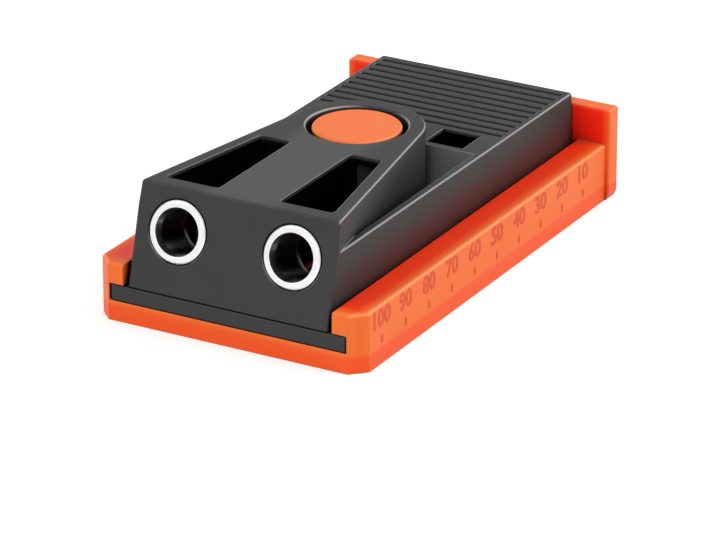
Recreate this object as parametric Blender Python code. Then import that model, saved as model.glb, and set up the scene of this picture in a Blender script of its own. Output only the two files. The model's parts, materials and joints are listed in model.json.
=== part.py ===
"""Pocket hole jig: a two-hole drill guide that slides on a tray and is locked by a sprung button.

Metres, +Z up. The jig rests on z = 0 with the middle of its footprint at the origin, and the drill
holes open towards -Y. Every piece is drawn from the tray's front edge, where y = 0, and an empty moves
that edge to its place. The slide and the button have an empty of their own on their line of travel.
"""

import math

import bmesh
import bpy
from mathutils import Matrix, Vector

mm = 0.001

# Fits
gap = 0.3 * mm  # between two pieces that touch
running_gap = 0.5 * mm  # round what slides or turns

# Drill guide
drill_diameter = 9.5 * mm
drill_angle = math.radians(15)
guide_inset = 10.2 * mm  # of each drill axis from the body's side
guide_cover_share = 0.261  # of the front wall above and below a bush's seat, the share that is above
bush_diameter = 13.4 * mm
bush_bore = 9.6 * mm
bush_mouth = 10.4 * mm
bush_flare = 2.0 * mm  # depth over which the mouth narrows to the bore
bush_length = 11.4 * mm
bush_stands_out = 0.4 * mm
bush_rim = 0.35 * mm  # chamfer round the outside of the bush
seat_wall = 1.7 * mm
seat_shoulder = 1.0 * mm
drill_passage = 0.25 * mm  # all round the drill, past the bushes

# Slide: housing and sole
body_width = 47.7 * mm
body_length = 108.8 * mm
spine_height = 30.5 * mm
spine_rise = 6.4 * mm  # of the spine above the side walls and the rear block
side_wall = 1.6 * mm
front_wall = 2.2 * mm
spine_wall = 2.8 * mm
top_wall = 2.0 * mm
edge_radius = 0.5 * mm
rear_corner = 0.6 * mm
spine_start = 4.9 * mm  # where the spine's sides leave the side walls
flange_width = 4.25 * mm  # of the sole, past each side of the housing
sole_thickness = 3.3 * mm
sole_corner = 0.6 * mm

# Windows, openings and ribs of the housing
centre_width = 14.4 * mm
window_front = 9.45 * mm
window_to_button = 15.3 * mm  # from a window's rear edge to the button's middle
window_corner = 1.0 * mm
rib_thickness = 1.6 * mm
boss_in_block = 3.3 * mm  # by which the button's boss runs into the rear block
block_wall = 1.5 * mm
opening_from_rack = 0.9 * mm  # from the rack's passage to an opening
opening_inset = 5.25 * mm  # of an opening from the body's side
opening_length = 8.5 * mm
groove_count = 10
groove_from_opening = 2.1 * mm  # to the middle of the first groove
groove_from_rear = 2.8 * mm  # of the last groove's middle
groove_mouth_share = 0.42  # of the pitch
groove_floor_share = 0.26  # of the pitch
groove_depth = 0.8 * mm
groove_margin = 1.2 * mm

# Tray
floor_thickness = 4.5 * mm
rail_wall = 3.6 * mm
lip_thickness = 4.8 * mm
lip_clearance = 1.15 * mm
lip_round = 0.4 * mm
rail_round = 1.0 * mm
tray_corner = 3.3 * mm  # flat, across each front corner
fence_thickness = 4.2 * mm
fence_height = 21.3 * mm
fence_overhang = 1.0 * mm
fence_round = 0.5 * mm
fence_foot_width = 0.8 * mm  # of the flat across each lower corner
fence_foot_height = 1.7 * mm
slot_margin = 0.6 * mm
slot_corner = 2.0 * mm

# Lock: rack, pawl, button and spring
travel = 36.0 * mm
press = 3.5 * mm
rack_front = 10.9 * mm
button_diameter = 19.4 * mm
button_clearance = 1.3 * mm
boss_rim = 3.6 * mm
rim_chamfer = 0.35 * mm
button_drop = 0.2 * mm  # of the button's top below the boss
button_round = 0.6 * mm
button_top_wall = 2.2 * mm
button_skirt_wall = 1.7 * mm
chamber_room = 4.0 * mm  # above the rack, below the recess
recess_floor = 2.0 * mm
stem_width = 4.6 * mm
sleeve_wall = 1.2 * mm
collar_share = 0.33  # of the room below the pressed cap, for the spring's collar
collar_wall = 0.6 * mm
tooth_pitch = 3.0 * mm
tooth_depth = 1.4 * mm
tooth_flat = 0.4 * mm
mesh_clearance = 0.5 * mm
pawl_teeth = 4
pawl_thickness = 3.0 * mm
pawl_root_width = 7.4 * mm
rack_wall = 2.4 * mm
rack_end = 1.5 * mm
rack_height = 12.0 * mm
tooth_bottom = 6.25 * mm  # below this height the rack lets the pressed pawl run free
spring_wire = 0.8 * mm
spring_turns = 5.5
spring_clearance = 0.6 * mm

# Screws
screw_length = 9.0 * mm
screw_diameter = 2.6 * mm
screw_head_diameter = 5.0 * mm
screw_head_height = 1.5 * mm
screw_boss = 4.8 * mm
screw_boss_height = 9.5 * mm
front_screw_inset = 3.65 * mm  # of the front screws from the body's sides
front_screw_y = 5.0 * mm
rear_screw_inset = 2.95 * mm
rear_screw_margin = 4.0 * mm  # of the rear screws from the body's rear
pawl_screw_length = 9.5 * mm
pawl_screw_diameter = 2.4 * mm
pawl_screw_head_diameter = 4.8 * mm
pawl_screw_head_height = 1.3 * mm
driver_recess_share = 0.8  # of the shank's radius, at the mouth of the driver's recess
driver_floor_share = 0.55  # of the shank's radius, at its floor
point_share = 0.35  # of the shank's radius, at the screw's end

# Heights, from the resting face up
sole_bottom = floor_thickness + gap
sole_top = sole_bottom + sole_thickness
housing_bottom = sole_top + gap
rail_height = housing_bottom + lip_thickness
side_height = spine_height - spine_rise
pawl_bottom = tooth_bottom + gap
pawl_top = pawl_bottom + pawl_thickness
sleeve_bottom = pawl_top + gap
rack_passage = rack_height + running_gap
chamber_top = rack_passage + chamber_room
recess_bottom = chamber_top + recess_floor
skirt_bottom = recess_bottom + gap + press
button_top = spine_height - button_drop
button_underside = button_top - button_top_wall
collar_top = recess_bottom + collar_share * (button_underside - press - recess_bottom)
seat_radius = bush_diameter / 2 + gap
seat_half_height = seat_radius * math.cos(drill_angle)
wall_round_seat = spine_height - housing_bottom - 2 * seat_half_height
guide_height = spine_height - seat_half_height - guide_cover_share * wall_round_seat

# Plan sizes
body_half = body_width / 2
sole_half = body_half + flange_width
channel_half = sole_half + gap
tray_half = channel_half + rail_wall
lip_edge = body_half + lip_clearance
fence_front = body_length + gap
overall_length = fence_front + fence_thickness
guide_x = body_half - guide_inset
drill_radius = drill_diameter / 2
seat_depth = bush_length - bush_stands_out + gap
guide_boss_radius = seat_radius + seat_wall
guide_boss_length = seat_depth + seat_shoulder
passage_radius = drill_radius + drill_passage
sleeve_bore = stem_width / 2 + gap
sleeve_half = sleeve_bore + sleeve_wall
collar_radius = sleeve_bore * math.sqrt(2) + collar_wall
spring_radius = collar_radius + spring_clearance + spring_wire / 2
pawl_length = pawl_teeth * tooth_pitch
pawl_root = pawl_root_width / 2
pawl_tip = pawl_root + tooth_depth
rack_tip = pawl_root + mesh_clearance
rack_root = rack_tip + tooth_depth
free_half = rack_root + gap / 2
rack_half = rack_root + rack_wall
passage_half = rack_half + running_gap
slot_front = rack_front + rack_end
button_y = slot_front + gap + pawl_length / 2 + travel
slot_rear = button_y + pawl_length / 2 + gap
rack_rear = slot_rear + rack_end
recess_radius = button_diameter / 2 + button_clearance
boss_radius = recess_radius + boss_rim
chamber_radius = boss_radius - front_wall
window_rear = button_y - window_to_button
block_front = button_y + boss_radius - boss_in_block
opening_front = block_front + block_wall
opening_rear = opening_front + opening_length
opening_inner = passage_half + opening_from_rack
opening_outer = body_half - opening_inset
groove_first = opening_rear + groove_from_opening
groove_pitch = (body_length - groove_from_rear - groove_first) / (groove_count - 1)
front_screw_x = body_half - front_screw_inset
rear_screw_x = body_half - rear_screw_inset
rear_screw_y = body_length - rear_screw_margin
screw_places = [(-front_screw_x, front_screw_y), (front_screw_x, front_screw_y)]
screw_places += [(-rear_screw_x, rear_screw_y), (rear_screw_x, rear_screw_y)]

# Steps round a full turn, and across a rounded edge
fine_steps = 64
round_steps = 48
small_steps = 24
hole_steps = 16
corner_steps = 5
edge_steps = 3
sharp_angle = math.radians(35)

overlap = 0.5 * mm  # by which a joined piece runs into its neighbour
beyond = 3.0 * mm  # by which a cutter runs past the face it opens
near = 0.01 * mm  # within which a point counts as lying on a face


def face_y(height, depth=0.0):
    """y of the leaning front face at this height, or of a plane that far behind it."""
    return (height - sole_top) * math.tan(drill_angle) + depth / math.cos(drill_angle)


def drill_y(height, side):
    """y where the drill's upper (side 1) or lower (side -1) edge passes this height."""
    along = (guide_height - height) / math.tan(drill_angle)
    return face_y(guide_height) + along + side * drill_radius / math.sin(drill_angle)


guide_at = [Vector((side * guide_x, face_y(guide_height), guide_height)) for side in (-1, 1)]
along_drill = Matrix.Rotation(-math.pi / 2 - drill_angle, 4, "X")
out_of_face = Vector((0, -math.cos(drill_angle), math.sin(drill_angle)))

# The spine's straight sides run from the side walls to the button's boss, which they meet as tangents
side_foot = Vector((body_half, spine_start - button_y))
side_turn = math.acos(boss_radius / side_foot.length) + math.atan2(side_foot.y, side_foot.x)


def side_x(y, inset=0.0):
    """x of the spine's right side at this y, or of a line that far inside it."""
    return (boss_radius - inset - (y - button_y) * math.sin(side_turn)) / math.cos(side_turn)


# Outlines


def arc(centre, radius, start, end, steps):
    """Points along an arc, with both ends."""
    turns = [start + (end - start) * step / steps for step in range(steps + 1)]
    return [(centre[0] + radius * math.cos(a), centre[1] + radius * math.sin(a)) for a in turns]


def rounded(corners, radii):
    """The outline with each corner turned into an arc. A radius of 0 leaves the corner sharp."""
    outline = []
    for i, radius in enumerate(radii):
        corner = Vector(corners[i])
        back = (Vector(corners[i - 1]) - corner).normalized()
        ahead = (Vector(corners[(i + 1) % len(corners)]) - corner).normalized()
        if not radius:
            outline.append(tuple(corner))
            continue
        half = back.angle(ahead) / 2
        centre = corner + (back + ahead).normalized() * radius / math.sin(half)
        first = corner + back * radius / math.tan(half) - centre
        last = corner + ahead * radius / math.tan(half) - centre
        start = math.atan2(first.y, first.x)
        turn = math.remainder(math.atan2(last.y, last.x) - start, 2 * math.pi)
        outline += arc(centre, radius, start, start + turn, corner_steps)
    return outline


def rectangle(x0, x1, y0, y1, radius=0.0):
    return rounded([(x0, y0), (x1, y0), (x1, y1), (x0, y1)], [radius] * 4)


def toothed_edge(x_root, x_tip, centres):
    """Points up one side of a row of teeth, given the y of each tooth's middle."""
    half_tip = tooth_flat / 2
    half_base = (tooth_pitch - tooth_flat) / 2
    points = []
    for y in centres:
        points += [(x_root, y - half_base), (x_tip, y - half_tip)]
        points += [(x_tip, y + half_tip), (x_root, y + half_base)]
    return points


def mirrored(right_side):
    """A closed outline from the points up its right side."""
    return right_side + [(-x, y) for x, y in reversed(right_side)]


# Solids


def extruded(outline, low, high, along="z"):
    """The outline pushed from low to high. Its points are (x, y) along z, (y, z) along x and (x, z) along y."""
    order = {"z": (0, 1, 2), "x": (2, 0, 1), "y": (0, 2, 1)}[along]
    bm = bmesh.new()
    ends = []
    for level in (low, high):
        corners = [(a, b, level) for a, b in outline]
        ends.append([bm.verts.new([corner[i] for i in order]) for corner in corners])
    bm.faces.new(ends[0])
    bm.faces.new(ends[1])
    for i, bottom in enumerate(ends[0]):
        bm.faces.new((bottom, ends[0][i - 1], ends[1][i - 1], ends[1][i]))
    bmesh.ops.recalc_face_normals(bm, faces=bm.faces)
    return bm


def block(x0, x1, y0, y1, z0, z1):
    return extruded(rectangle(x0, x1, y0, y1), z0, z1)


def turned(profile, steps, ring=False):
    """Points (radius, height) turned round z. Its ends are closed flat, or it closes on itself as a ring."""
    bm = bmesh.new()
    points = [bm.verts.new((radius, 0, height)) for radius, height in profile]
    pairs = list(zip(points, points[1:]))
    if ring:
        pairs.append((points[-1], points[0]))
    edges = [bm.edges.new(pair) for pair in pairs]
    bmesh.ops.spin(
        bm, geom=points + edges, cent=(0, 0, 0), axis=(0, 0, 1), angle=2 * math.pi, steps=steps, use_merge=True
    )
    bmesh.ops.holes_fill(bm, edges=[edge for edge in bm.edges if edge.is_boundary])
    bmesh.ops.recalc_face_normals(bm, faces=bm.faces)
    return bm


def cylinder(radius, low, high, steps, centre=(0, 0)):
    step = 2 * math.pi / steps
    return extruded(arc(centre, radius, step / 2, 2 * math.pi - step / 2, steps - 1), low, high)


def placed(bm, matrix):
    bmesh.ops.transform(bm, matrix=matrix, verts=bm.verts)
    return bm


def sliced(bm, point, normal):
    """Keeps the part that lies behind the plane, and closes the cut."""
    whole = bm.verts[:] + bm.edges[:] + bm.faces[:]
    bmesh.ops.bisect_plane(bm, geom=whole, plane_co=point, plane_no=normal, clear_outer=True)
    bmesh.ops.holes_fill(bm, edges=[edge for edge in bm.edges if edge.is_boundary])
    return bm


def behind_face(bm, depth):
    """Cuts off what stands in front of the plane that lies this far behind the front face."""
    return sliced(bm, (0, face_y(guide_height, depth), guide_height), out_of_face)


def softened(bm, radius, chosen):
    """Rounds the edges whose two ends pass the test."""
    edges = [edge for edge in bm.edges if chosen(edge.verts[0].co, edge.verts[1].co)]
    bmesh.ops.bevel(
        bm, geom=edges, offset=radius, offset_type="OFFSET", segments=edge_steps, profile=0.5, affect="EDGES"
    )
    return bm


def merged(solids):
    """Several separate solids in one mesh, for a cutter that makes a row of cuts."""
    mesh = bpy.data.meshes.new("merged")
    whole = bmesh.new()
    for bm in solids:
        bm.to_mesh(mesh)
        whole.from_mesh(mesh)
        bm.free()
    bpy.data.meshes.remove(mesh)
    return whole


# Objects


def clear_scene():
    for obj in list(bpy.data.objects):
        bpy.data.objects.remove(obj)


def finish(name, colour, roughness, metallic=0.0):
    """A plain material of one colour."""
    material = bpy.data.materials.new(name)
    material.use_nodes = True
    shader = material.node_tree.nodes["Principled BSDF"]
    shader.inputs["Base Color"].default_value = (*colour, 1.0)
    shader.inputs["Roughness"].default_value = roughness
    shader.inputs["Metallic"].default_value = metallic
    return material


def empty(name, location, parent=None):
    obj = bpy.data.objects.new(name, None)
    obj.empty_display_size = tray_half
    obj.location = location
    obj.parent = parent
    bpy.context.scene.collection.objects.link(obj)
    return obj


def piece(name, bm, material, parent):
    """One sub-part of the jig."""
    mesh = bpy.data.meshes.new(name)
    bm.to_mesh(mesh)
    bm.free()
    mesh.shade_smooth()
    mesh.set_sharp_from_angle(angle=sharp_angle)
    if material:
        mesh.materials.append(material)
    obj = bpy.data.objects.new(name, mesh)
    obj.parent = parent
    bpy.context.scene.collection.objects.link(obj)
    return obj


def shape(target, operation, name, bm):
    """Joins a helper solid to the target, or cuts it out. The helper isn't rendered."""
    helper = piece(f"{target.name}_{name}", bm, None, target.parent)
    helper.hide_render = True
    helper.display_type = "WIRE"
    modifier = target.modifiers.new(name, "BOOLEAN")
    modifier.operation = operation
    modifier.solver = "EXACT"
    modifier.object = helper


def join(target, name, bm):
    shape(target, "UNION", name, bm)


def cut(target, name, bm):
    shape(target, "DIFFERENCE", name, bm)


# Tray, moulded in one piece with its rails, fence and rack


def tray_shell():
    """Floor and rails as one block, with the front corners cut off flat and the outer top edge rounded."""
    right = [(tray_half - tray_corner, 0), (tray_half, tray_corner), (tray_half, overall_length - overlap)]
    bm = extruded(mirrored(right), 0, rail_height)
    return softened(bm, rail_round, lambda a, b: min(a.z, b.z) > rail_height - near)


def fence():
    """The wall across the rear, a little wider than the tray. Its foot's flats start beside the tray."""
    half = tray_half + fence_overhang
    right = [(half - fence_foot_width, 0), (half, fence_foot_height), (half, fence_height)]
    bm = extruded(mirrored(right), fence_front, overall_length, along="y")
    return softened(bm, fence_round, lambda a, b: max(a.z, b.z) > fence_height - near and min(a.z, b.z) > near)


def channel():
    """The T-shaped channel that the sole runs in, open at the front."""
    right = [(channel_half, floor_thickness), (channel_half, housing_bottom), (lip_edge, housing_bottom)]
    round_middle = (lip_edge + lip_round, rail_height - lip_round)
    right += arc(round_middle, lip_round, math.pi, math.pi / 2, edge_steps)
    right.append((lip_edge + lip_round, rail_height + beyond))
    return extruded(mirrored(right), -beyond, fence_front, along="y")


def tray(material, parent):
    obj = piece("tray", tray_shell(), material, parent)
    join(obj, "fence", fence())
    cut(obj, "channel", channel())
    join(obj, "rack", block(-rack_half, rack_half, rack_front, rack_rear, overlap, rack_height))

    front = drill_y(floor_thickness, -1) - travel - slot_margin
    rear = drill_y(0, 1) + slot_margin
    inner = guide_x - drill_radius - drill_passage
    outer = guide_x + drill_radius + slot_margin
    for name, x0, x1 in (("left", -outer, -inner), ("right", inner, outer)):
        slot = rectangle(x0, x1, front, rear, slot_corner)
        cut(obj, f"drill_slot_{name}", extruded(slot, -beyond, floor_thickness + overlap))

    free_run = rectangle(-free_half, free_half, slot_front, slot_rear)
    cut(obj, "free_run", extruded(free_run, -beyond, tooth_bottom))
    reach = pawl_teeth // 2 - 1
    first = -round(travel / tooth_pitch) - reach
    centres = [button_y + n * tooth_pitch for n in range(first, reach + 1)]
    teeth = [(rack_root, slot_front)] + toothed_edge(rack_root, rack_tip, centres) + [(rack_root, slot_rear)]
    cut(obj, "teeth", extruded(mirrored(teeth), tooth_bottom - overlap, rack_height + beyond))
    return obj


# Housing of the slide, a moulded shell that is open below


def side_walls():
    """The side walls and the rear block, as a U in plan. The front ends run into the spine."""
    start = (face_y(side_height) + spine_start) / 2
    inner = body_half - side_wall
    right = [(body_half, start), (body_half, body_length)]
    corners = right + [(-x, y) for x, y in reversed(right)]
    corners += [(-inner, start), (-inner, block_front), (inner, block_front), (inner, start)]
    outline = rounded(corners, [0, rear_corner, rear_corner, 0, 0, 0, 0, 0])
    bm = extruded(outline, housing_bottom, side_height)

    def outside_top(a, b):
        beside = min(abs(a.x), abs(b.x)) > inner + near
        behind = min(a.y, b.y) > block_front + near
        return min(a.z, b.z) > side_height - near and (beside or behind)

    return softened(bm, edge_radius, outside_top)


def spine():
    """The raised middle: as wide as the body at the front, it narrows to the button's round boss."""
    outline = [(-body_half, -beyond), (body_half, -beyond), (body_half, spine_start)]
    outline += arc((0, button_y), boss_radius, side_turn, math.pi - side_turn, round_steps)
    outline.append((-body_half, spine_start))
    bm = behind_face(extruded(outline, housing_bottom, spine_height), 0)

    def top_or_front_corner(a, b):
        on_top = min(a.z, b.z) > spine_height - near
        on_face = max(abs(a.y - face_y(a.z)), abs(b.y - face_y(b.z))) < near
        return on_top or (on_face and a.x * b.x > 0)

    return softened(bm, edge_radius, top_or_front_corner)


def front_hollow():
    """The space behind the front face, under the windows, as far as the button's boss."""
    meet = side_turn - math.acos((boss_radius - spine_wall) / boss_radius)
    outline = [(-side_x(-beyond, spine_wall), -beyond), (side_x(-beyond, spine_wall), -beyond)]
    outline += arc((0, button_y), boss_radius, meet, -math.pi - meet, small_steps)
    return behind_face(extruded(outline, housing_bottom - beyond, spine_height - top_wall), front_wall)


def window(side):
    """One of the two windows in the spine's top."""
    inner = centre_width / 2
    corners = [(inner, window_front), (side_x(window_front, spine_wall), window_front)]
    corners += [(side_x(window_rear, spine_wall), window_rear), (inner, window_rear)]
    outline = rounded([(side * x, y) for x, y in corners], [window_corner] * 4)
    return extruded(outline, spine_height - top_wall - overlap, spine_height + beyond)


def centre_rib(side):
    """A deep rib under the edge of the strip between the windows, clear of the rack."""
    outer = centre_width / 2
    low = rack_passage + gap
    high = spine_height - top_wall + overlap
    middle = (boss_radius + chamber_radius) / 2
    rear = button_y - math.sqrt(middle**2 - (outer - rib_thickness / 2) ** 2)
    start = front_wall / 2
    profile = [(face_y(low, start), low), (rear, low), (rear, high), (face_y(high, start), high)]
    x0, x1 = sorted((side * outer, side * (outer - rib_thickness)))
    return extruded(profile, x0, x1, along="x")


def guide_boss(at):
    """The tube that holds a bush, from inside the front wall, flat where it would pass the top or the sole."""
    bm = cylinder(guide_boss_radius, front_wall / 2, guide_boss_length, round_steps)
    placed(bm, Matrix.Translation(at) @ along_drill)
    sliced(bm, (0, 0, spine_height - overlap), (0, 0, 1))
    return sliced(bm, (0, 0, housing_bottom), (0, 0, -1))


def guide_bore(at):
    """The bush's seat, and the smaller hole past its shoulder."""
    seat = [(seat_radius, -beyond), (seat_radius, seat_depth), (passage_radius, seat_depth)]
    seat.append((passage_radius, guide_boss_length + overlap))
    return placed(turned(seat, round_steps), Matrix.Translation(at) @ along_drill)


def drill_channel(at):
    """The way of the drill past its boss, open below."""
    end = (guide_height - housing_bottom + drill_diameter) / math.sin(drill_angle)
    outline = arc((0, 0), passage_radius, 0, -math.pi, small_steps)
    outline += [(-passage_radius, guide_height), (passage_radius, guide_height)]
    bm = extruded(outline, guide_boss_length + gap, end)
    return placed(bm, Matrix.Translation(at) @ along_drill)


def screw_bosses():
    """Posts for the screws that hold the sole: short ones in front, and as high as the block at the rear."""
    front_top = housing_bottom + screw_boss_height
    rear_top = side_height - top_wall + overlap
    tops = (front_top, front_top, rear_top, rear_top)
    radius = screw_boss / 2
    return [cylinder(radius, housing_bottom, top, small_steps, at) for at, top in zip(screw_places, tops)]


def block_ribs():
    """Ribs under the rear block: one each side of the openings, and one behind each opening."""
    low = rack_passage + gap
    high = side_height - top_wall + overlap
    rear = body_length - side_wall + overlap
    lengthwise = [
        (opening_inner - rib_thickness, opening_inner + overlap),
        (opening_outer - overlap, opening_outer + rib_thickness),
    ]
    ribs = []
    for side in (-1, 1):
        for inner, outer in lengthwise:
            x0, x1 = sorted((side * inner, side * outer))
            ribs.append(block(x0, x1, opening_front - overlap, rear, low, high))
    for side in (-1, 1):
        x0, x1 = sorted((side * (opening_inner - overlap), side * (opening_outer + overlap)))
        ribs.append(block(x0, x1, opening_rear - overlap, opening_rear + rib_thickness, low, high))
    return ribs


def grooves():
    """The grip grooves across the rear block, each a little wider at its mouth."""
    reach = body_half - groove_margin
    floor = groove_pitch * groove_floor_share / 2
    mouth = groove_pitch * groove_mouth_share / 2
    above = mouth + (mouth - floor) * overlap / groove_depth
    rows = []
    for n in range(groove_count):
        y = groove_first + n * groove_pitch
        profile = [(y - above, side_height + overlap), (y - floor, side_height - groove_depth)]
        profile += [(y + floor, side_height - groove_depth), (y + above, side_height + overlap)]
        rows.append(extruded(profile, -reach, reach, along="x"))
    return merged(rows)


def button_recess():
    """The round recess of the button, with its rim chamfered."""
    mouth = recess_radius + rim_chamfer + overlap
    profile = [(recess_radius, recess_bottom), (recess_radius, spine_height - rim_chamfer)]
    profile.append((mouth, spine_height + overlap))
    return placed(turned(profile, fine_steps), Matrix.Translation((0, button_y, 0)))


def housing(material, parent):
    obj = piece("body_housing", side_walls(), material, parent)
    join(obj, "spine", spine())
    cut(obj, "front_hollow", front_hollow())
    inner = body_half - side_wall
    hollow = rectangle(-inner, inner, opening_front, body_length - side_wall)
    cut(obj, "block_hollow", extruded(hollow, housing_bottom - beyond, side_height - top_wall))
    chamber = cylinder(chamber_radius, housing_bottom - beyond, chamber_top, round_steps, (0, button_y))
    cut(obj, "lock_chamber", chamber)
    for n, at in enumerate(guide_at, 1):
        join(obj, f"guide_boss_{n}", guide_boss(at))
    for n, side in enumerate((-1, 1), 1):
        join(obj, f"centre_rib_{n}", centre_rib(side))
    for n, rib in enumerate(block_ribs(), 1):
        join(obj, f"block_rib_{n}", rib)
    for n, post in enumerate(screw_bosses(), 1):
        join(obj, f"screw_boss_{n}", post)
    for n, side in enumerate((-1, 1), 1):
        cut(obj, f"window_{n}", window(side))
    cut(obj, "button_recess", button_recess())
    passage = rectangle(-passage_half, passage_half, rack_front - running_gap, body_length + beyond)
    cut(obj, "rack_passage", extruded(passage, housing_bottom - beyond, rack_passage))
    for n, at in enumerate(guide_at, 1):
        cut(obj, f"drill_channel_{n}", drill_channel(at))
        cut(obj, f"guide_bore_{n}", guide_bore(at))
    for n, side in enumerate((-1, 1), 1):
        x0, x1 = sorted((side * opening_inner, side * opening_outer))
        outline = rectangle(x0, x1, opening_front, opening_rear)
        cut(obj, f"opening_{n}", extruded(outline, housing_bottom - beyond, side_height + beyond))
    cut(obj, "grooves", grooves())

    around = rectangle(-sleeve_half, sleeve_half, button_y - sleeve_half, button_y + sleeve_half)
    join(obj, "sleeve", extruded(around, sleeve_bottom, chamber_top + overlap))
    collar = cylinder(collar_radius, recess_bottom - overlap, collar_top, round_steps, (0, button_y))
    join(obj, "collar", collar)
    bore = rectangle(-sleeve_bore, sleeve_bore, button_y - sleeve_bore, button_y + sleeve_bore)
    cut(obj, "sleeve_bore", extruded(bore, sleeve_bottom - beyond, collar_top + beyond))
    pilot = screw_diameter / 2 + gap
    top = sole_bottom + gap + screw_length + gap
    holes = [cylinder(pilot, housing_bottom - beyond, top, hole_steps, at) for at in screw_places]
    cut(obj, "screw_holes", merged(holes))
    return obj


# Sole of the slide, the plate whose edges run under the tray's lips


def sole(material, parent):
    outline = rectangle(-sole_half, sole_half, 0, body_length, sole_corner)
    obj = piece("sole_plate", extruded(outline, sole_bottom, sole_top), material, parent)
    slot = rectangle(-passage_half, passage_half, rack_front - running_gap, body_length + beyond)
    cut(obj, "rack_slot", extruded(slot, sole_bottom - beyond, sole_top + beyond))
    half = guide_x + drill_radius + slot_margin
    front = drill_y(sole_top, -1) - slot_margin
    rear = drill_y(sole_bottom, 1) + slot_margin
    opening = rectangle(-half, half, front, rear, slot_corner)
    cut(obj, "drill_opening", extruded(opening, sole_bottom - beyond, sole_top + beyond))

    shank = screw_diameter / 2 + gap
    head = screw_head_diameter / 2 + gap
    seat = sole_bottom + gap + screw_head_height + gap
    profile = [(head, sole_bottom - beyond), (head, seat), (shank, seat), (shank, sole_top + beyond)]
    holes = [placed(turned(profile, small_steps), Matrix.Translation((x, y, 0))) for x, y in screw_places]
    cut(obj, "screw_holes", merged(holes))
    return obj


# Bushes and screws


def bush(name, at, material, parent):
    """A hardened bush, drawn along its own axis from the mouth and then tilted."""
    outer = bush_diameter / 2
    profile = [(bush_mouth / 2, 0), (outer - bush_rim, 0), (outer, bush_rim), (outer, bush_length - bush_rim)]
    profile += [(outer - bush_rim, bush_length), (bush_bore / 2 + bush_rim, bush_length)]
    profile += [(bush_bore / 2, bush_length - bush_rim), (bush_bore / 2, bush_flare)]
    obj = piece(name, turned(profile, fine_steps, ring=True), material, parent)
    obj.location = at + out_of_face * bush_stands_out
    obj.rotation_euler = along_drill.to_euler()
    return obj


def screw(name, length, diameter, head, head_height, at, material, parent):
    """A pan-head screw that stands on its head, with a pointed end and a round recess for its driver."""
    radius = diameter / 2
    edge = head_height / 3
    profile = [(radius * driver_floor_share, head_height / 2), (radius * driver_recess_share, 0)]
    profile += [(head / 2 - edge, 0), (head / 2, edge), (head / 2, head_height), (radius, head_height)]
    profile += [(radius, length - diameter), (radius * point_share, length)]
    obj = piece(name, turned(profile, small_steps), material, parent)
    obj.location = at
    return obj


# Lock


def button(material, parent):
    """The cap, hollow below, and the square stem that keeps it from turning."""
    radius = button_diameter / 2
    inner = radius - button_skirt_wall
    centre = (radius - button_round, button_top - button_round)
    profile = [(inner, button_underside), (inner, skirt_bottom), (radius, skirt_bottom)]
    profile += arc(centre, button_round, 0, math.pi / 2, corner_steps)
    obj = piece("release_button", turned(profile, fine_steps), material, parent)
    half = stem_width / 2
    stem = extruded(rectangle(-half, half, -half, half), sleeve_bottom, button_underside + overlap)
    join(obj, "stem", stem)
    hole = pawl_screw_diameter / 2 + gap
    top = pawl_bottom + pawl_screw_length + gap
    cut(obj, "screw_hole", cylinder(hole, sleeve_bottom - beyond, top, hole_steps))
    return obj


def pawl(material, parent):
    """The toothed plate under the button's stem, which meshes with both sides of the rack."""
    half = pawl_length / 2
    centres = [(n + 0.5) * tooth_pitch - half for n in range(pawl_teeth)]
    edge = [(pawl_root, -half)] + toothed_edge(pawl_root, pawl_tip, centres) + [(pawl_root, half)]
    obj = piece("lock_pawl", extruded(mirrored(edge), pawl_bottom, pawl_top), material, parent)
    shank = pawl_screw_diameter / 2 + gap
    head = pawl_screw_head_diameter / 2 + gap
    seat = pawl_bottom + pawl_screw_head_height + gap
    profile = [(head, pawl_bottom - beyond), (head, seat), (shank, seat), (shank, pawl_top + beyond)]
    cut(obj, "screw_hole", turned(profile, small_steps))
    return obj


def spring(material, parent):
    """The coil that lifts the button: a wire that climbs from the recess floor to the cap."""
    low = recess_bottom + gap + spring_wire / 2
    high = button_underside - gap - spring_wire / 2
    steps = round(spring_turns * hole_steps)
    curve = bpy.data.curves.new("button_spring", "CURVE")
    curve.dimensions = "3D"
    curve.bevel_depth = spring_wire / 2
    curve.bevel_resolution = 2
    curve.use_fill_caps = True
    wire = curve.splines.new("POLY")
    wire.points.add(steps)
    for step, point in enumerate(wire.points):
        turn = 2 * math.pi * spring_turns * step / steps
        height = low + (high - low) * step / steps
        point.co = (spring_radius * math.cos(turn), spring_radius * math.sin(turn), height, 1)
    curve.materials.append(material)
    obj = bpy.data.objects.new("button_spring", curve)
    obj.parent = parent
    bpy.context.scene.collection.objects.link(obj)
    return obj


# The jig


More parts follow.
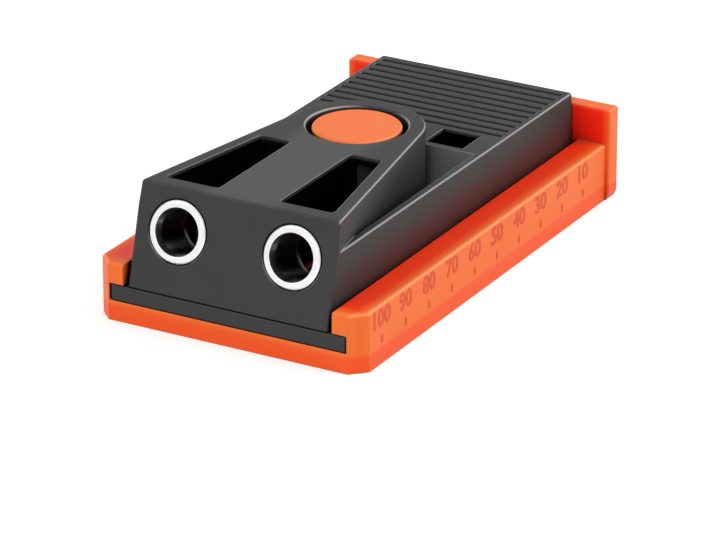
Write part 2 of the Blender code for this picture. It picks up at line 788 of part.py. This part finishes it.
def main():
    clear_scene()
    orange = finish("orange_plastic", (0.95, 0.13, 0.03), 0.35)
    black = finish("black_plastic", (0.035, 0.035, 0.04), 0.5)
    steel = finish("bush_steel", (0.78, 0.78, 0.8), 0.25, 1.0)
    wire = finish("spring_steel", (0.55, 0.55, 0.57), 0.3, 1.0)
    zinc = finish("zinc_plate", (0.7, 0.7, 0.68), 0.35, 1.0)

    datum = empty("tray_front", (0, -overall_length / 2, 0))
    slide = empty("slide_travel", (0, 0, 0), datum)
    lock = empty("button_travel", (0, button_y, 0), slide)

    tray(orange, datum)
    housing(black, slide)
    sole(black, slide)
    for name, at in zip(("guide_bush_left", "guide_bush_right"), guide_at):
        bush(name, at, steel, slide)
    for n, (x, y) in enumerate(screw_places, 1):
        head = (screw_head_diameter, screw_head_height)
        at = (x, y, sole_bottom + gap)
        screw(f"sole_screw_{n}", screw_length, screw_diameter, *head, at, zinc, slide)
    spring(wire, lock)
    button(orange, lock)
    pawl(black, lock)
    head = (pawl_screw_head_diameter, pawl_screw_head_height)
    screw("pawl_screw", pawl_screw_length, pawl_screw_diameter, *head, (0, 0, pawl_bottom), zinc, lock)


main()
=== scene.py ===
import json
import math

import bmesh
import bpy
from mathutils import Matrix, Vector

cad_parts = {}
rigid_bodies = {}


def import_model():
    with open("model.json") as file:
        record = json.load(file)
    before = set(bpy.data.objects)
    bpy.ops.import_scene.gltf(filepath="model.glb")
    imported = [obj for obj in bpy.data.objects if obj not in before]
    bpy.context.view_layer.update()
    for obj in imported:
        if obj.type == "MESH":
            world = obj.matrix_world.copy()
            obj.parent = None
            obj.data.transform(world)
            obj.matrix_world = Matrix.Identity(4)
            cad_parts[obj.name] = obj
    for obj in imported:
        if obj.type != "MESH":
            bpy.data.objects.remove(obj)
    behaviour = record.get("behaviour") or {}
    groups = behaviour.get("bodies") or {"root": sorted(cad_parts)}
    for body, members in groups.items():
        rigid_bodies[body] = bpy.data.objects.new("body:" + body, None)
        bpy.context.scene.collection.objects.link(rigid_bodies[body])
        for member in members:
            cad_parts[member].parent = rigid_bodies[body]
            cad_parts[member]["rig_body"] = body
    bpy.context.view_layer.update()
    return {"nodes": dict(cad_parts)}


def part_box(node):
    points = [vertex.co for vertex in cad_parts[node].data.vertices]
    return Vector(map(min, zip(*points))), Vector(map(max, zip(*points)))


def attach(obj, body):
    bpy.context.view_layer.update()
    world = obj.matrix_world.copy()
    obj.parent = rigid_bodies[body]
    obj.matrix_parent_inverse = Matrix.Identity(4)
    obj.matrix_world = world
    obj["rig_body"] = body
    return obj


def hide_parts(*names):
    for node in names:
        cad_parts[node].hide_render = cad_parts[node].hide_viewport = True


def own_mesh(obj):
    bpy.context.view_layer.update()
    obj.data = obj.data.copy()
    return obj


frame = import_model()
print("frame loaded:", len(frame["nodes"]), "nodes")

mm = 0.001
nodes = frame["nodes"]

# X runs across the jig, Y from its front edge to the fence, Z up from the board
trayLow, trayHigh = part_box("tray")
fence = {"thickness": 4.2 * mm, "overhang": 1.0 * mm}  # the overhang is past each rail
fenceFront = trayHigh.y - fence["thickness"]
railSide = trayHigh.x - fence["overhang"]


# helpers for node trees

def newMaterial(name):
    material = bpy.data.materials.new(name)
    material.use_nodes = True
    material.node_tree.nodes.clear()
    return material


def addNode(tree, kind, **settings):
    node = tree.nodes.new(kind)
    for key, value in settings.items():
        setattr(node, key, value)
    return node


def feed(node, *inOrder, **byName):
    # links each input whose source is another node's output, and sets it to any other source;
    # underscores in the keyword stand for spaces in the socket's name
    pairs = list(zip(node.inputs, inOrder))
    pairs += [(node.inputs[key.replace("_", " ")], source) for key, source in byName.items()]
    for socket, source in pairs:
        if isinstance(source, bpy.types.NodeSocket):
            node.id_data.links.new(source, socket)
        else:
            socket.default_value = source
    return node


def newGroup(name, inputs, outputs):
    tree = bpy.data.node_groups.new(name, "ShaderNodeTree")
    for label, kind, value in inputs:
        socket = tree.interface.new_socket(label, in_out="INPUT", socket_type=kind)
        socket.default_value = value
    for label, kind in outputs:
        tree.interface.new_socket(label, in_out="OUTPUT", socket_type=kind)
    return tree, tree.nodes.new("NodeGroupInput"), tree.nodes.new("NodeGroupOutput")


def placeGroup(tree, group, **values):
    return feed(addNode(tree, "ShaderNodeGroup", node_tree=group), **values)


def maths(tree, operation, *sources):
    return feed(addNode(tree, "ShaderNodeMath", operation=operation), *sources).outputs["Value"]


def vectorMaths(tree, operation, *sources):
    return feed(addNode(tree, "ShaderNodeVectorMath", operation=operation), *sources).outputs["Vector"]


def mix(tree, kind, factor, first, second):
    # kind is RGBA for two colours and FLOAT for two numbers
    node = addNode(tree, "ShaderNodeMix", data_type=kind)
    return feed(node, Factor=factor, A=first, B=second).outputs["Result"]


def mapRange(tree, source, fromLow, fromHigh, toLow=0.0, toHigh=1.0):
    limits = {"From_Min": fromLow, "From_Max": fromHigh, "To_Min": toLow, "To_Max": toHigh}
    return feed(addNode(tree, "ShaderNodeMapRange"), Value=source, **limits).outputs["Result"]


# shared surface effects

def makeGrainGroup():
    # the fine texture that a spark-eroded mould leaves, with slow patches of colour and gloss
    tree, inlet, outlet = newGroup(
        "mouldedGrain",
        [("Grain Scale", "NodeSocketFloat", 3200.0), ("Patch Scale", "NodeSocketFloat", 90.0)],
        [("Height", "NodeSocketFloat"), ("Patches", "NodeSocketFloat"), ("Specks", "NodeSocketFloat")],
    )
    place = addNode(tree, "ShaderNodeTexCoord")
    grain = feed(addNode(tree, "ShaderNodeTexNoise"), Detail=3.0, Roughness=0.6)
    patches = feed(addNode(tree, "ShaderNodeTexNoise"), Detail=4.0, Roughness=0.55)
    specks = feed(addNode(tree, "ShaderNodeTexVoronoi"), Randomness=1.0)
    for texture, scale in ((grain, "Grain Scale"), (patches, "Patch Scale"), (specks, "Grain Scale")):
        feed(texture, Vector=place.outputs["Object"], Scale=inlet.outputs[scale])
    feed(outlet, Height=grain.outputs["Fac"], Patches=patches.outputs["Fac"])
    feed(outlet, Specks=specks.outputs["Distance"])
    return tree


# the two values between which each mask of an edge goes from none to full
edgeLimits = {
    "bend": (0.99, 0.8),  # cosine of the angle between the face and its rounded normal
    "slant": (0.25, 0.6),  # the smaller of the rounded normal's upward and sideways parts
    "upward": (0.2, 0.5),  # the rounded normal's upward part, low on a corner and high on a lip
}


def makeEdgeGroup():
    # a rounded normal for sharp mould edges, and masks of the rims along the jig, of the lips across it
    # and of the upright corners, along which the finishes paint highlights and shade
    tree, inlet, outlet = newGroup(
        "softEdges",
        [("Radius", "NodeSocketFloat", 0.4 * mm)],
        [("Normal", "NodeSocketVector"), ("Rim", "NodeSocketFloat"), ("Lip", "NodeSocketFloat"),
         ("Corner", "NodeSocketFloat")],
    )
    bevel = feed(addNode(tree, "ShaderNodeBevel", samples=6), Radius=inlet.outputs["Radius"])
    rounded = bevel.outputs["Normal"]
    flat = addNode(tree, "ShaderNodeNewGeometry").outputs["True Normal"]
    compare = feed(addNode(tree, "ShaderNodeVectorMath", operation="DOT_PRODUCT"), rounded, flat)
    edge = mapRange(tree, compare.outputs["Value"], *edgeLimits["bend"])
    parts = feed(addNode(tree, "ShaderNodeSeparateXYZ"), rounded)
    upward = parts.outputs["Z"]
    slant = maths(tree, "MINIMUM", maths(tree, "ABSOLUTE", parts.outputs["X"]), upward)
    top = mapRange(tree, upward, *edgeLimits["upward"])
    side = mapRange(tree, upward, *edgeLimits["upward"], 1.0, 0.0)
    feed(outlet, Normal=rounded, Rim=mapRange(tree, slant, *edgeLimits["slant"]),
         Lip=maths(tree, "MULTIPLY", edge, top), Corner=maths(tree, "MULTIPLY", edge, side))
    return tree


def makeCreviceGroup():
    # 1 on open surfaces, 0 deep in corners, slots and bores, where the layers laid with it paint shade
    tree, inlet, outlet = newGroup(
        "paintedCreviceShade",
        [("Reach", "NodeSocketFloat", 10.0 * mm), ("Closed", "NodeSocketFloat", 0.1),
         ("Clear", "NodeSocketFloat", 0.5)],
        [("Open", "NodeSocketFloat")],
    )
    shade = feed(addNode(tree, "ShaderNodeAmbientOcclusion", samples=8), Distance=inlet.outputs["Reach"])
    feed(outlet, Open=mapRange(tree, shade.outputs["AO"], inlet.outputs["Closed"], inlet.outputs["Clear"]))
    return tree


def makeZoneGroup():
    # 1 inside a box that is measured from the jig's middle plane, and so is the same left and right;
    # it fades in from the box's sides, and Taper narrows the box towards the rear
    tree, inlet, outlet = newGroup(
        "zoneMask",
        [("Low", "NodeSocketVector", (-1, -1, -1)), ("High", "NodeSocketVector", (1, 1, 1)),
         ("Fade", "NodeSocketVector", (mm, mm, mm)), ("Taper", "NodeSocketFloat", 0.0)],
        [("Inside", "NodeSocketFloat")],
    )
    place = addNode(tree, "ShaderNodeTexCoord")
    parts = feed(addNode(tree, "ShaderNodeSeparateXYZ"), place.outputs["Object"])
    along, height = parts.outputs["Y"], parts.outputs["Z"]
    sideways = maths(tree, "ABSOLUTE", parts.outputs["X"])
    widened = maths(tree, "MULTIPLY_ADD", along, inlet.outputs["Taper"], sideways)
    point = feed(addNode(tree, "ShaderNodeCombineXYZ"), widened, along, height).outputs["Vector"]
    shares = []
    for larger, smaller in ((point, inlet.outputs["Low"]), (inlet.outputs["High"], point)):
        depth = vectorMaths(tree, "SUBTRACT", larger, smaller)
        share = vectorMaths(tree, "DIVIDE", depth, inlet.outputs["Fade"])
        share = vectorMaths(tree, "MAXIMUM", share, (0, 0, 0))
        shares.append(vectorMaths(tree, "MINIMUM", share, (1, 1, 1)))
    both = feed(addNode(tree, "ShaderNodeSeparateXYZ"), vectorMaths(tree, "MULTIPLY", *shares))
    inside = maths(tree, "MULTIPLY", both.outputs["X"], both.outputs["Y"])
    feed(outlet, Inside=maths(tree, "MULTIPLY", inside, both.outputs["Z"]))
    return tree


grainGroup = makeGrainGroup()
edgeGroup = makeEdgeGroup()
creviceShadeGroup = makeCreviceGroup()
zoneGroup = makeZoneGroup()


# finishes

far = 1.0  # past the jig on every side, so no limit
noiseSpan = (0.3, 0.7)  # most of the noise lies between these two
speckSpan = (0.0, 0.35)  # from the middle of a speck to its edge, as a share of the grain's cells


def zone(colour, fade, across=(-far, far), along=(-far, far), upward=(-far, far), taper=0.0, **gloss):
    # a layer of a finish inside a box; across is measured from the jig's middle plane
    low, high = zip(across, along, upward)
    return dict(gloss, colour=colour, low=low, high=high, fade=fade, taper=taper)


def crevice(colour, reach, closed, clear, **gloss):
    # a layer of a finish that covers what is shut in: fully where the share of open view is closed, and no
    # more where it is clear; its colour is painted shade
    return dict(gloss, colour=colour, reach=reach, closed=closed, clear=clear)


def addLayers(tree, colour, rough, layers):
    # lays each layer over the plain colour and gloss, the first one lowest; most of these layers paint
    # shade and light into the colour
    for layer in layers:
        if "low" in layer:
            box = {"Low": layer["low"], "High": layer["high"], "Fade": layer["fade"]}
            cover = placeGroup(tree, zoneGroup, Taper=layer["taper"], **box).outputs["Inside"]
        else:
            depths = {"Reach": layer["reach"], "Closed": layer["closed"], "Clear": layer["clear"]}
            openness = placeGroup(tree, creviceShadeGroup, **depths).outputs["Open"]
            cover = mapRange(tree, openness, 0.0, 1.0, 1.0, 0.0)
        colour = mix(tree, "RGBA", cover, colour, layer["colour"])
        if "rough" in layer:
            rough = mix(tree, "FLOAT", cover, rough, layer["rough"])
    return colour, rough


def makeFinish(name, look):
    # one material from its look: patches and flecks, then the layers, most of them painted shade and
    # light, then the painted edge highlights and shade; steel has neither flecks nor painted edges
    material = newMaterial(name)
    tree = material.node_tree
    grain = placeGroup(tree, grainGroup, Grain_Scale=look["grainScale"], Patch_Scale=look["patchScale"])
    soft = placeGroup(tree, edgeGroup, Radius=look["edgeRadius"])
    patches = mapRange(tree, grain.outputs["Patches"], *noiseSpan)
    colour = mix(tree, "RGBA", patches, look["colour"], look["patchColour"])
    if "fleck" in look:
        fleck = mapRange(tree, grain.outputs["Specks"], *speckSpan, look["fleck"], 0.0)
        colour = mix(tree, "RGBA", fleck, colour, look["fleckColour"])
    unevenness = grain.outputs[look["glossFollows"]]
    rough = mapRange(tree, unevenness, *noiseSpan, look["roughLow"], look["roughHigh"])
    colour, rough = addLayers(tree, colour, rough, look["layers"])
    for mask, (share, paintedEdgeLight) in look["edges"].items():
        cover = mapRange(tree, soft.outputs[mask], 0.0, 1.0, 0.0, share)
        colour = mix(tree, "RGBA", cover, colour, paintedEdgeLight)
    bump = feed(addNode(tree, "ShaderNodeBump"), Strength=look["bumpStrength"], Distance=look["bumpDepth"],
                Height=grain.outputs["Height"], Normal=soft.outputs["Normal"])
    shader = feed(addNode(tree, "ShaderNodeBsdfPrincipled"), Base_Color=colour, Roughness=rough,
                  Normal=bump.outputs["Normal"], **look["shader"])
    feed(addNode(tree, "ShaderNodeOutputMaterial"), Surface=shader.outputs["BSDF"])
    return material


# edges gives each mask of an edge the share that it covers, and its colour; these colours are painted
# highlights and painted shade along the edges
orangeLook = {
    "colour": (0.80, 0.150, 0.022, 1), "patchColour": (0.77, 0.138, 0.020, 1),
    "fleck": 0.12, "fleckColour": (0.62, 0.09, 0.015, 1),
    "layers": [
        # painted shade: near black deep in bores and slots
        crevice((0.02, 0.002, 0.0015, 1), reach=18.0 * mm, closed=0.15, clear=0.42, rough=0.12),
    ],
    # painted highlights, paler than the orange, along the upright corners, lips and rims
    "edges": {
        "Corner": (0.5, (0.84, 0.20, 0.07, 1)),
        "Lip": (0.4, (0.90, 0.30, 0.13, 1)),
        "Rim": (0.7, (0.93, 0.33, 0.15, 1)),
    },
    "edgeRadius": 0.4 * mm,
    "grainScale": 3600.0, "patchScale": 60.0,
    "glossFollows": "Patches", "roughLow": 0.38, "roughHigh": 0.48,
    "bumpStrength": 0.25, "bumpDepth": 0.02 * mm,
    "shader": {"Specular_IOR_Level": 0.22, "IOR": 1.5},
}
trayLook = dict(orangeLook, layers=[
    # the foot
    zone((0.80, 0.085, 0.010, 1), fade=(mm, mm, mm), upward=(-far, 4.2 * mm)),
    # painted shade: deep red on the inside, which faces the housing and lies in its shade
    zone((0.84, 0.036, 0.005, 1), fade=(2.4 * mm, 3.0 * mm, mm), across=(-far, railSide - 0.6 * mm),
         along=(trayLow.y + 0.65 * mm, fenceFront + 0.45 * mm)),
    # painted shade: deep red on the front face of the fence, which the housing shades
    zone((0.92, 0.018, 0.004, 1), fade=(2.2 * mm, 0.15 * mm, 12.0 * mm),
         across=(-far, trayHigh.x + 0.2 * mm), along=(fenceFront - 0.25 * mm, fenceFront + 0.45 * mm),
         upward=(-far, trayHigh.z + 10.7 * mm)),
] + orangeLook["layers"])
# paler than the tray's orange: painted light, for the brighter top of the button
buttonLook = dict(orangeLook, colour=(0.82, 0.165, 0.034, 1), patchColour=(0.80, 0.155, 0.031, 1))

# painted shade: near black, and glossy so that little light comes back, for hollows
paintedHollowShade = {"colour": (0.0008, 0.0008, 0.0008, 1), "rough": 0.12}  # where no light comes back out
blackLook = {
    "colour": (0.031, 0.031, 0.032, 1), "patchColour": (0.037, 0.037, 0.039, 1),
    "fleck": 0.3, "fleckColour": (0.060, 0.060, 0.062, 1),
    "layers": [
        # painted shade: near black deep in hollows, and dark lines in the fine grooves
        crevice(**paintedHollowShade, reach=14.0 * mm, closed=0.05, clear=0.40),
        crevice((0.004, 0.004, 0.004, 1), reach=1.6 * mm, closed=0.35, clear=0.85),
    ],
    # painted highlights along lips and rims, and a painted dark reflection along the upright corners
    "edges": {
        "Corner": (0.8, (0.004, 0.004, 0.004, 1)),
        "Lip": (0.25, (0.20, 0.20, 0.20, 1)),
        "Rim": (0.8, (0.42, 0.42, 0.42, 1)),
    },
    "edgeRadius": 0.4 * mm,
    "grainScale": 3000.0, "patchScale": 70.0,
    "glossFollows": "Patches", "roughLow": 0.46, "roughHigh": 0.58,
    "bumpStrength": 0.35, "bumpDepth": 0.03 * mm,
    "shader": {"Specular_IOR_Level": 0.18, "IOR": 1.5},
}

housing = {
    "windowFront": 9.45 * mm,  # from the jig's front edge to a window
    "windowToButton": 15.3 * mm,  # from a window's rear edge to the button's middle
    "blockFromButton": 11.3 * mm,  # from the button's middle to the rear block
    "spineRise": 6.4 * mm,  # of the spine above the rear block
    "noseHalf": 12.05 * mm,  # half the width of the hollow nose, at the jig's middle
    "noseTaper": 0.181,  # by which that half narrows for each unit of length to the rear
}
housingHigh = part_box("body_housing")[1]
buttonLow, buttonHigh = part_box("release_button")
buttonMiddle = (buttonLow.y + buttonHigh.y) / 2
windowFront = trayLow.y + housing["windowFront"]
windowRear = buttonMiddle - housing["windowToButton"]
blockFront = buttonMiddle + housing["blockFromButton"]
blockTop = housingHigh.z - housing["spineRise"]
housingLook = dict(blackLook, layers=[
    # painted shade: black inside the hollow nose, which narrows to the rear as the spine does
    zone(**paintedHollowShade, fade=(0.4 * mm, 0.4 * mm, 0.5 * mm), across=(-far, housing["noseHalf"]),
         along=(windowFront - 0.3 * mm, windowRear + 2.55 * mm), upward=(-far, housingHigh.z - 0.5 * mm),
         taper=housing["noseTaper"]),
    # painted shade: black inside the hollow rear block
    zone(**paintedHollowShade, fade=(0.3 * mm, 0.3 * mm, 0.2 * mm), across=(-far, housingHigh.x - 0.7 * mm),
         along=(blockFront + 0.4 * mm, housingHigh.y - 0.8 * mm), upward=(-far, blockTop - 0.55 * mm)),
    # painted sheen: the top of the strip between the windows lighter than the rest, with a smoother gloss
    zone((0.048, 0.048, 0.050, 1), fade=(4.0 * mm, 5.0 * mm, 0.2 * mm), across=(-far, 11.0 * mm),
         along=(trayLow.y + 2.65 * mm, buttonMiddle - 4.05 * mm), upward=(housingHigh.z - 0.3 * mm, far),
         rough=0.42),
] + blackLook["layers"] + [
    # painted light: the front wall of the rear block far lighter, for light that reaches down into the
    # well
    zone((0.17, 0.17, 0.175, 1), fade=(0.2 * mm, 0.1 * mm, 0.3 * mm),
         across=(-far, housingHigh.x - 1.45 * mm), along=(blockFront - 0.35 * mm, blockFront + 0.3 * mm),
         upward=(2.0 * mm, blockTop + 0.5 * mm)),
    # painted reflection: the red light that the tray throws onto the sides
    zone((0.075, 0.018, 0.014, 1), fade=(0.1 * mm, 25.0 * mm, 9.0 * mm),
         across=(housingHigh.x - 0.35 * mm, far), along=(trayLow.y + 2.65 * mm, far),
         upward=(5.0 * mm, blockTop - 3.1 * mm)),
])

bushLook = {
    "colour": (0.90, 0.90, 0.91, 1), "patchColour": (0.85, 0.85, 0.87, 1),
    "layers": [
        # painted shade: near black inside the bore
        crevice((0.01, 0.01, 0.0105, 1), reach=8.0 * mm, closed=0.60, clear=0.88, rough=0.12),
    ],
    "edges": {},
    "edgeRadius": 0.15 * mm,
    "grainScale": 5000.0, "patchScale": 120.0,
    "glossFollows": "Height", "roughLow": 0.20, "roughHigh": 0.34,
    "bumpStrength": 0.15, "bumpDepth": 0.01 * mm,
    "shader": {"Metallic": 1.0},
}
springLook = dict(
    bushLook, colour=(0.55, 0.55, 0.57, 1), patchColour=(0.47, 0.47, 0.5, 1), roughLow=0.3, roughHigh=0.42,
)
zincLook = dict(
    bushLook, colour=(0.68, 0.68, 0.66, 1), patchColour=(0.6, 0.61, 0.6, 1), roughLow=0.28, roughHigh=0.45,
)

finishes = {
    "trayPlastic": (trayLook, ["tray"]),
    "buttonPlastic": (buttonLook, ["release_button"]),
    "blackPlastic": (blackLook, ["sole_plate", "lock_pawl"]),
    "housingPlastic": (housingLook, ["body_housing"]),
    "bushSteel": (bushLook, ["guide_bush_left", "guide_bush_right"]),
    "springSteel": (springLook, ["button_spring"]),
    "zincPlate": (zincLook, [name for name in nodes if "screw" in name]),
}
for finishName, (look, wearers) in finishes.items():
    finish = makeFinish(finishName, look)
    for wearer in wearers:
        nodes[wearer].data.materials.clear()
        nodes[wearer].data.materials.append(finish)
print("finishes set")


# ruler on the tray's right side

ruler = {
    "values": range(10, 101, 10),
    "zeroFromFence": -0.6 * mm,  # y of the ruler's zero, measured from the fence's front face
    "raised": 0.06 * mm,
    "digitHeight": 4.0 * mm, "digitMiddle": 10.5 * mm,
    "tickWidth": 0.7 * mm, "tickHeight": 1.8 * mm, "tickMiddle": 5.6 * mm,
    # for an alphabet 1 unit high: how far the strokes grow each way, and how near two points count as one
    "boldness": 0.018, "finest": 0.006,
    "curveSteps": 4,
    "sharpest": 0.5,  # the smaller this is, the further a sharp corner of a stroke may run out
    # edgeShare is how much of each painted edge highlight the marks get
    "edgeShare": 0.1,  # that the marks get of each edge colour
}


def embolden(bm, growth):
    # moves the outlines of a flat mesh out by growth, square to their edges
    outwards = {}
    for edge in bm.edges:
        if edge.is_boundary:
            start, end = edge.verts
            out = (end.co - start.co).normalized().cross(Vector((0, 0, 1)))
            if out.dot(edge.link_faces[0].calc_center_median() - start.co) > 0:
                out.negate()
            for v in edge.verts:
                outwards.setdefault(v, []).append(out)
    for v, (first, second) in outwards.items():
        v.co += (first + second) * growth / max(1 + first.dot(second), ruler["sharpest"])


def meshFromText(name, words, height, thickness):
    # lettering of the built-in font, centred on its own middle, as tall and as thick as asked
    curve = bpy.data.curves.new(name, "FONT")
    curve.body = words
    curve.size = 1.0
    curve.resolution_u = ruler["curveSteps"]
    holder = bpy.data.objects.new(name, curve)
    bpy.context.scene.collection.objects.link(holder)
    bpy.context.view_layer.update()
    flat = bpy.data.meshes.new_from_object(holder.evaluated_get(bpy.context.evaluated_depsgraph_get()))
    bpy.data.objects.remove(holder)
    bm = bmesh.new()
    bm.from_mesh(flat)
    bpy.data.meshes.remove(flat)
    bmesh.ops.remove_doubles(bm, verts=bm.verts, dist=ruler["finest"])
    embolden(bm, ruler["boldness"])
    low = Vector([min(v.co[i] for v in bm.verts) for i in range(3)])
    high = Vector([max(v.co[i] for v in bm.verts) for i in range(3)])
    scale = height / (high.y - low.y)
    middle = (low + high) / 2
    for v in bm.verts:
        v.co = (v.co - middle) * scale
    pushed = bmesh.ops.extrude_face_region(bm, geom=bm.faces[:])
    raised = [item for item in pushed["geom"] if isinstance(item, bmesh.types.BMVert)]
    bmesh.ops.translate(bm, verts=raised, vec=(0, 0, thickness))
    bmesh.ops.recalc_face_normals(bm, faces=bm.faces)
    return bm


def objectFrom(bm, name, material, matrix=None):
    mesh = bpy.data.meshes.new(name)
    bm.to_mesh(mesh)
    bm.free()
    mesh.materials.append(material)
    obj = bpy.data.objects.new(name, mesh)
    bpy.context.scene.collection.objects.link(obj)
    if matrix:
        obj.data.transform(matrix)
    return obj


markLook = dict(
    orangeLook, colour=(0.64, 0.070, 0.016, 1), patchColour=(0.61, 0.064, 0.014, 1), edgeRadius=0.02 * mm,
    edges={mask: (ruler["edgeShare"], tint) for mask, (share, tint) in orangeLook["edges"].items()},
)
markPlastic = makeFinish("markPlastic", markLook)


def addRuler():
    # the digits are drawn flat, and this matrix stands them up facing right
    facingRight = Matrix(((0, 0, 1, 0), (1, 0, 0, 0), (0, 1, 0, 0), (0, 0, 0, 1)))
    zero = fenceFront + ruler["zeroFromFence"]
    for value in ruler["values"]:
        y = zero - value * mm
        digits = meshFromText(f"digits_{value}", str(value), ruler["digitHeight"], 2 * ruler["raised"])
        place = Matrix.Translation((railSide - ruler["raised"], y, ruler["digitMiddle"])) @ facingRight
        piece = objectFrom(digits, f"ruler_{value}", markPlastic, place)
        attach(piece, "tray")
        tick = bmesh.new()
        bmesh.ops.create_cube(tick, size=1.0)
        size = Vector((2 * ruler["raised"], ruler["tickWidth"], ruler["tickHeight"]))
        bmesh.ops.scale(tick, vec=size, verts=tick.verts)
        place = Matrix.Translation((railSide, y, ruler["tickMiddle"]))
        mark = objectFrom(tick, f"tick_{value}", markPlastic, place)
        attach(mark, "tray")


addRuler()
print("ruler added")


# button spring

def addSpring():
    # a copy of the CAD spring stands for it, because a CAD node can't flatten under the button
    rest = nodes["button_spring"]
    spring = bpy.data.objects.new("spring_under_button", rest.data.copy())
    bpy.context.scene.collection.objects.link(spring)
    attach(spring, rest["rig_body"])
    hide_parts("button_spring")
    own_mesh(spring)


addSpring()
print("spring added")


# floor, light and camera

white = (1, 1, 1, 1)
black = (0, 0, 0, 1)
studio = {
    "floorReach": 3.0, "floorColour": 0.8,
    "floorGlow": 0.35, "glowInset": mm,  # the unlit floor stays this far inside the jig's outline
    "ambient": 0.40, "glossy": 0.8,  # glossy is how much of the white surround a reflection shows
    "lamps": {
        "key": {"azimuth": 110, "elevation": 35, "distance": 0.9, "size": 0.45, "power": 4.6},
        "left": {"azimuth": -50, "elevation": 38, "distance": 1.0, "size": 0.6, "power": 3.3},
        "front": {"azimuth": 14, "elevation": 31, "distance": 1.0, "size": 0.5, "power": 3.4},
        "top": {"azimuth": 200, "elevation": 75, "distance": 1.0, "size": 0.9, "power": 0.8},
    },
}
view = {
    "azimuth": 29.46, "elevation": 23.19, "distance": 1065.4 * mm, "aim": (0.0, -0.4 * mm, 16.9 * mm),
    "right": -0.56 * mm, "up": -19.0 * mm,  # these move the camera aside from the line through its aim
    "lens": 250.3, "sensor": 36.0,
}


def directionOf(azimuth, elevation):
    # azimuth 0 is in front of the jig, and it grows towards +X
    turn = math.radians(azimuth)
    rise = math.radians(elevation)
    return Vector((math.sin(turn) * math.cos(rise), -math.cos(turn) * math.cos(rise), math.sin(rise)))


def addFloor():
    bm = bmesh.new()
    bmesh.ops.create_grid(bm, x_segments=1, y_segments=1, size=studio["floorReach"])
    material = newMaterial("floorPaint")
    tree = material.node_tree
    grey = studio["floorColour"]
    paint = feed(addNode(tree, "ShaderNodeBsdfDiffuse"), Color=(grey, grey, grey, 1))
    # only the camera and reflections see the glow, and none comes from under the jig
    path = addNode(tree, "ShaderNodeLightPath")
    seen = maths(tree, "MAXIMUM", path.outputs["Is Camera Ray"], path.outputs["Is Glossy Ray"])
    strength = mapRange(tree, seen, 0.0, 1.0, 0.0, studio["floorGlow"])
    inset = studio["glowInset"]
    low = (-far, trayLow.y + inset, -mm)
    high = (trayHigh.x - inset, trayHigh.y - inset, mm)
    footprint = placeGroup(tree, zoneGroup, Low=low, High=high, Fade=(mm, mm, 0.5 * mm))
    light = mix(tree, "RGBA", footprint.outputs["Inside"], white, black)
    glow = feed(addNode(tree, "ShaderNodeEmission"), Color=light, Strength=strength)
    both = feed(addNode(tree, "ShaderNodeAddShader"), paint.outputs["BSDF"], glow.outputs["Emission"])
    feed(addNode(tree, "ShaderNodeOutputMaterial"), Surface=both.outputs["Shader"])
    floor = objectFrom(bm, "floor", material)


def addWorld():
    # soft light from all round, and a white surround for the camera and for reflections
    world = bpy.data.worlds.new("studioWorld")
    bpy.context.scene.world = world
    world.use_nodes = True
    tree = world.node_tree
    tree.nodes.clear()
    plain = feed(addNode(tree, "ShaderNodeBackground"), Color=white, Strength=studio["ambient"])
    bright = feed(addNode(tree, "ShaderNodeBackground"), Color=white, Strength=1.0)
    path = addNode(tree, "ShaderNodeLightPath")
    glossy = maths(tree, "MULTIPLY", path.outputs["Is Glossy Ray"], studio["glossy"])
    seen = maths(tree, "MAXIMUM", path.outputs["Is Camera Ray"], glossy)
    both = addNode(tree, "ShaderNodeMixShader")
    feed(both, seen, plain.outputs["Background"], bright.outputs["Background"])
    feed(addNode(tree, "ShaderNodeOutputWorld"), Surface=both.outputs["Shader"])


def addLamps():
    for name, lamp in studio["lamps"].items():
        data = bpy.data.lights.new(name, "AREA")
        data.shape = "DISK"
        data.size = lamp["size"]
        data.energy = lamp["power"]
        obj = bpy.data.objects.new(name, data)
        back = directionOf(lamp["azimuth"], lamp["elevation"])
        obj.location = back * lamp["distance"]
        obj.rotation_euler = back.to_track_quat("Z", "Y").to_euler()
        bpy.context.scene.collection.objects.link(obj)


def addCamera():
    data = bpy.data.cameras.new("camera")
    data.lens = view["lens"]
    data.sensor_width = view["sensor"]
    data.sensor_fit = "HORIZONTAL"
    obj = bpy.data.objects.new("camera", data)
    back = directionOf(view["azimuth"], view["elevation"])
    turn = math.radians(view["azimuth"])
    right = Vector((math.cos(turn), math.sin(turn), 0))
    up = back.cross(right)
    obj.location = Vector(view["aim"]) + back * view["distance"] + right * view["right"] + up * view["up"]
    obj.rotation_euler = Matrix((right, up, back)).transposed().to_euler()
    bpy.context.scene.collection.objects.link(obj)
    bpy.context.scene.camera = obj


addFloor()
addWorld()
addLamps()
addCamera()
bpy.context.scene.view_settings.view_transform = "Standard"
print("studio ready")
